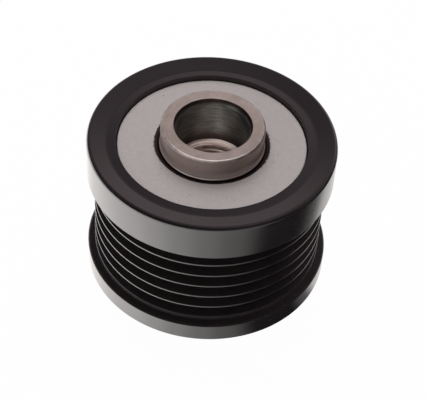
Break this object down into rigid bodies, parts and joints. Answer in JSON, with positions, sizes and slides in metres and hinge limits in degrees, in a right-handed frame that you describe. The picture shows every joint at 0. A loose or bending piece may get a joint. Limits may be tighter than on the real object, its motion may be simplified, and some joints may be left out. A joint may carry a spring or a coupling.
{
  "type": "alternator pulley",
  "caption": "Overrunning alternator pulley: a grooved belt ring that turns on needle bearings round a threaded hub, with a roller clutch that drives one way only.",
  "frame": {"origin": "centre of the front rim face, on which the pulley stands", "axes": "+Z along the shaft axis towards the alternator, out of the hub's protruding rear end; -Z is the front, where the dust cap would go; X and Y lie across the shaft"},
  "size_m": [0.0578, 0.0578, 0.0418],
  "materials": {
    "coated_steel": "satin black coating on steel",
    "hub_steel": "turned bare steel",
    "race_steel": "hardened and ground",
    "roller_steel": "lapped bearing steel",
    "spring_steel": "bright strip",
    "cage_plastic": "moulded, glass filled",
    "seal_case": "matt grey pressed sheet",
    "seal_rubber": "matt black"
  },
  "bodies": {
    "hub": {"hub": "hub_steel", "front_thrust_ring": "race_steel", "rear_thrust_ring": "race_steel"},
    "ring": {"pulley_ring": "coated_steel", "clutch_cup": "race_steel", "clutch_cage": "cage_plastic", "clutch_roller_1": "roller_steel", "clutch_spring_1": "spring_steel", "clutch_roller_2": "roller_steel", "clutch_spring_2": "spring_steel", "clutch_roller_3": "roller_steel", "clutch_spring_3": "spring_steel", "clutch_roller_4": "roller_steel", "clutch_spring_4": "spring_steel", "clutch_roller_5": "roller_steel", "clutch_spring_5": "spring_steel", "clutch_roller_6": "roller_steel", "clutch_spring_6": "spring_steel", "clutch_roller_7": "roller_steel", "clutch_spring_7": "spring_steel", "clutch_roller_8": "roller_steel", "clutch_spring_8": "spring_steel", "rear_seal_shield": "seal_case", "rear_seal_lip": "seal_rubber", "front_seal_shield": "seal_case", "front_seal_lip": "seal_rubber"},
    "front_cage": {"front_bearing_cage": "cage_plastic"},
    "front_needle_01": {"front_needle_01": "roller_steel"},
    "front_needle_02": {"front_needle_02": "roller_steel"},
    "front_needle_03": {"front_needle_03": "roller_steel"},
    "front_needle_04": {"front_needle_04": "roller_steel"},
    "front_needle_05": {"front_needle_05": "roller_steel"},
    "front_needle_06": {"front_needle_06": "roller_steel"},
    "front_needle_07": {"front_needle_07": "roller_steel"},
    "front_needle_08": {"front_needle_08": "roller_steel"},
    "front_needle_09": {"front_needle_09": "roller_steel"},
    "front_needle_10": {"front_needle_10": "roller_steel"},
    "front_needle_11": {"front_needle_11": "roller_steel"},
    "front_needle_12": {"front_needle_12": "roller_steel"},
    "front_needle_13": {"front_needle_13": "roller_steel"},
    "front_needle_14": {"front_needle_14": "roller_steel"},
    "rear_cage": {"rear_bearing_cage": "cage_plastic"},
    "rear_needle_01": {"rear_needle_01": "roller_steel"},
    "rear_needle_02": {"rear_needle_02": "roller_steel"},
    "rear_needle_03": {"rear_needle_03": "roller_steel"},
    "rear_needle_04": {"rear_needle_04": "roller_steel"},
    "rear_needle_05": {"rear_needle_05": "roller_steel"},
    "rear_needle_06": {"rear_needle_06": "roller_steel"},
    "rear_needle_07": {"rear_needle_07": "roller_steel"},
    "rear_needle_08": {"rear_needle_08": "roller_steel"},
    "rear_needle_09": {"rear_needle_09": "roller_steel"},
    "rear_needle_10": {"rear_needle_10": "roller_steel"},
    "rear_needle_11": {"rear_needle_11": "roller_steel"},
    "rear_needle_12": {"rear_needle_12": "roller_steel"},
    "rear_needle_13": {"rear_needle_13": "roller_steel"},
    "rear_needle_14": {"rear_needle_14": "roller_steel"}
  },
  "joints": [
    {"name": "ring_spin", "type": "hinge", "parent": "hub", "child": "ring", "pos_m": [0, 0, 0], "axis": [0, 0, 1], "continuous": true},
    {"name": "front_cage_turn", "type": "hinge", "parent": "hub", "child": "front_cage", "pos_m": [0, 0, 0.01273], "axis": [0, 0, 1], "continuous": true},
    {"name": "front_needle_01_roll", "type": "hinge", "parent": "front_cage", "child": "front_needle_01", "pos_m": [0.01315, 0, 0.01273], "axis": [0, 0, 1], "continuous": true},
    {"name": "front_needle_02_roll", "type": "hinge", "parent": "front_cage", "child": "front_needle_02", "pos_m": [0.01185, 0.00571, 0.01273], "axis": [0, 0, 1], "continuous": true},
    {"name": "front_needle_03_roll", "type": "hinge", "parent": "front_cage", "child": "front_needle_03", "pos_m": [0.0082, 0.01028, 0.01273], "axis": [0, 0, 1], "continuous": true},
    {"name": "front_needle_04_roll", "type": "hinge", "parent": "front_cage", "child": "front_needle_04", "pos_m": [0.00293, 0.01282, 0.01273], "axis": [0, 0, 1], "continuous": true},
    {"name": "front_needle_05_roll", "type": "hinge", "parent": "front_cage", "child": "front_needle_05", "pos_m": [-0.00293, 0.01282, 0.01273], "axis": [0, 0, 1], "continuous": true},
    {"name": "front_needle_06_roll", "type": "hinge", "parent": "front_cage", "child": "front_needle_06", "pos_m": [-0.0082, 0.01028, 0.01273], "axis": [0, 0, 1], "continuous": true},
    {"name": "front_needle_07_roll", "type": "hinge", "parent": "front_cage", "child": "front_needle_07", "pos_m": [-0.01185, 0.00571, 0.01273], "axis": [0, 0, 1], "continuous": true},
    {"name": "front_needle_08_roll", "type": "hinge", "parent": "front_cage", "child": "front_needle_08", "pos_m": [-0.01315, 0, 0.01273], "axis": [0, 0, 1], "continuous": true},
    {"name": "front_needle_09_roll", "type": "hinge", "parent": "front_cage", "child": "front_needle_09", "pos_m": [-0.01185, -0.00571, 0.01273], "axis": [0, 0, 1], "continuous": true},
    {"name": "front_needle_10_roll", "type": "hinge", "parent": "front_cage", "child": "front_needle_10", "pos_m": [-0.0082, -0.01028, 0.01273], "axis": [0, 0, 1], "continuous": true},
    {"name": "front_needle_11_roll", "type": "hinge", "parent": "front_cage", "child": "front_needle_11", "pos_m": [-0.00293, -0.01282, 0.01273], "axis": [0, 0, 1], "continuous": true},
    {"name": "front_needle_12_roll", "type": "hinge", "parent": "front_cage", "child": "front_needle_12", "pos_m": [0.00293, -0.01282, 0.01273], "axis": [0, 0, 1], "continuous": true},
    {"name": "front_needle_13_roll", "type": "hinge", "parent": "front_cage", "child": "front_needle_13", "pos_m": [0.0082, -0.01028, 0.01273], "axis": [0, 0, 1], "continuous": true},
    {"name": "front_needle_14_roll", "type": "hinge", "parent": "front_cage", "child": "front_needle_14", "pos_m": [0.01185, -0.00571, 0.01273], "axis": [0, 0, 1], "continuous": true},
    {"name": "rear_cage_turn", "type": "hinge", "parent": "hub", "child": "rear_cage", "pos_m": [0, 0, 0.02658], "axis": [0, 0, 1], "continuous": true},
    {"name": "rear_needle_01_roll", "type": "hinge", "parent": "rear_cage", "child": "rear_needle_01", "pos_m": [0.01315, 0, 0.02658], "axis": [0, 0, 1], "continuous": true},
    {"name": "rear_needle_02_roll", "type": "hinge", "parent": "rear_cage", "child": "rear_needle_02", "pos_m": [0.01185, 0.00571, 0.02658], "axis": [0, 0, 1], "continuous": true},
    {"name": "rear_needle_03_roll", "type": "hinge", "parent": "rear_cage", "child": "rear_needle_03", "pos_m": [0.0082, 0.01028, 0.02658], "axis": [0, 0, 1], "continuous": true},
    {"name": "rear_needle_04_roll", "type": "hinge", "parent": "rear_cage", "child": "rear_needle_04", "pos_m": [0.00293, 0.01282, 0.02658], "axis": [0, 0, 1], "continuous": true},
    {"name": "rear_needle_05_roll", "type": "hinge", "parent": "rear_cage", "child": "rear_needle_05", "pos_m": [-0.00293, 0.01282, 0.02658], "axis": [0, 0, 1], "continuous": true},
    {"name": "rear_needle_06_roll", "type": "hinge", "parent": "rear_cage", "child": "rear_needle_06", "pos_m": [-0.0082, 0.01028, 0.02658], "axis": [0, 0, 1], "continuous": true},
    {"name": "rear_needle_07_roll", "type": "hinge", "parent": "rear_cage", "child": "rear_needle_07", "pos_m": [-0.01185, 0.00571, 0.02658], "axis": [0, 0, 1], "continuous": true},
    {"name": "rear_needle_08_roll", "type": "hinge", "parent": "rear_cage", "child": "rear_needle_08", "pos_m": [-0.01315, 0, 0.02658], "axis": [0, 0, 1], "continuous": true},
    {"name": "rear_needle_09_roll", "type": "hinge", "parent": "rear_cage", "child": "rear_needle_09", "pos_m": [-0.01185, -0.00571, 0.02658], "axis": [0, 0, 1], "continuous": true},
    {"name": "rear_needle_10_roll", "type": "hinge", "parent": "rear_cage", "child": "rear_needle_10", "pos_m": [-0.0082, -0.01028, 0.02658], "axis": [0, 0, 1], "continuous": true},
    {"name": "rear_needle_11_roll", "type": "hinge", "parent": "rear_cage", "child": "rear_needle_11", "pos_m": [-0.00293, -0.01282, 0.02658], "axis": [0, 0, 1], "continuous": true},
    {"name": "rear_needle_12_roll", "type": "hinge", "parent": "rear_cage", "child": "rear_needle_12", "pos_m": [0.00293, -0.01282, 0.02658], "axis": [0, 0, 1], "continuous": true},
    {"name": "rear_needle_13_roll", "type": "hinge", "parent": "rear_cage", "child": "rear_needle_13", "pos_m": [0.0082, -0.01028, 0.02658], "axis": [0, 0, 1], "continuous": true},
    {"name": "rear_needle_14_roll", "type": "hinge", "parent": "rear_cage", "child": "rear_needle_14", "pos_m": [0.01185, -0.00571, 0.02658], "axis": [0, 0, 1], "continuous": true}
  ],
  "couplings": [
    {"joint": "front_cage_turn", "follows": "ring_spin", "ratio": 0.55893},
    {"joint": "front_needle_01_roll", "follows": "ring_spin", "ratio": 4.3224},
    {"joint": "front_needle_02_roll", "follows": "ring_spin", "ratio": 4.3224},
    {"joint": "front_needle_03_roll", "follows": "ring_spin", "ratio": 4.3224},
    {"joint": "front_needle_04_roll", "follows": "ring_spin", "ratio": 4.3224},
    {"joint": "front_needle_05_roll", "follows": "ring_spin", "ratio": 4.3224},
    {"joint": "front_needle_06_roll", "follows": "ring_spin", "ratio": 4.3224},
    {"joint": "front_needle_07_roll", "follows": "ring_spin", "ratio": 4.3224},
    {"joint": "front_needle_08_roll", "follows": "ring_spin", "ratio": 4.3224},
    {"joint": "front_needle_09_roll", "follows": "ring_spin", "ratio": 4.3224},
    {"joint": "front_needle_10_roll", "follows": "ring_spin", "ratio": 4.3224},
    {"joint": "front_needle_11_roll", "follows": "ring_spin", "ratio": 4.3224},
    {"joint": "front_needle_12_roll", "follows": "ring_spin", "ratio": 4.3224},
    {"joint": "front_needle_13_roll", "follows": "ring_spin", "ratio": 4.3224},
    {"joint": "front_needle_14_roll", "follows": "ring_spin", "ratio": 4.3224},
    {"joint": "rear_cage_turn", "follows": "ring_spin", "ratio": 0.55893},
    {"joint": "rear_needle_01_roll", "follows": "ring_spin", "ratio": 4.3224},
    {"joint": "rear_needle_02_roll", "follows": "ring_spin", "ratio": 4.3224},
    {"joint": "rear_needle_03_roll", "follows": "ring_spin", "ratio": 4.3224},
    {"joint": "rear_needle_04_roll", "follows": "ring_spin", "ratio": 4.3224},
    {"joint": "rear_needle_05_roll", "follows": "ring_spin", "ratio": 4.3224},
    {"joint": "rear_needle_06_roll", "follows": "ring_spin", "ratio": 4.3224},
    {"joint": "rear_needle_07_roll", "follows": "ring_spin", "ratio": 4.3224},
    {"joint": "rear_needle_08_roll", "follows": "ring_spin", "ratio": 4.3224},
    {"joint": "rear_needle_09_roll", "follows": "ring_spin", "ratio": 4.3224},
    {"joint": "rear_needle_10_roll", "follows": "ring_spin", "ratio": 4.3224},
    {"joint": "rear_needle_11_roll", "follows": "ring_spin", "ratio": 4.3224},
    {"joint": "rear_needle_12_roll", "follows": "ring_spin", "ratio": 4.3224},
    {"joint": "rear_needle_13_roll", "follows": "ring_spin", "ratio": 4.3224},
    {"joint": "rear_needle_14_roll", "follows": "ring_spin", "ratio": 4.3224}
  ]
}
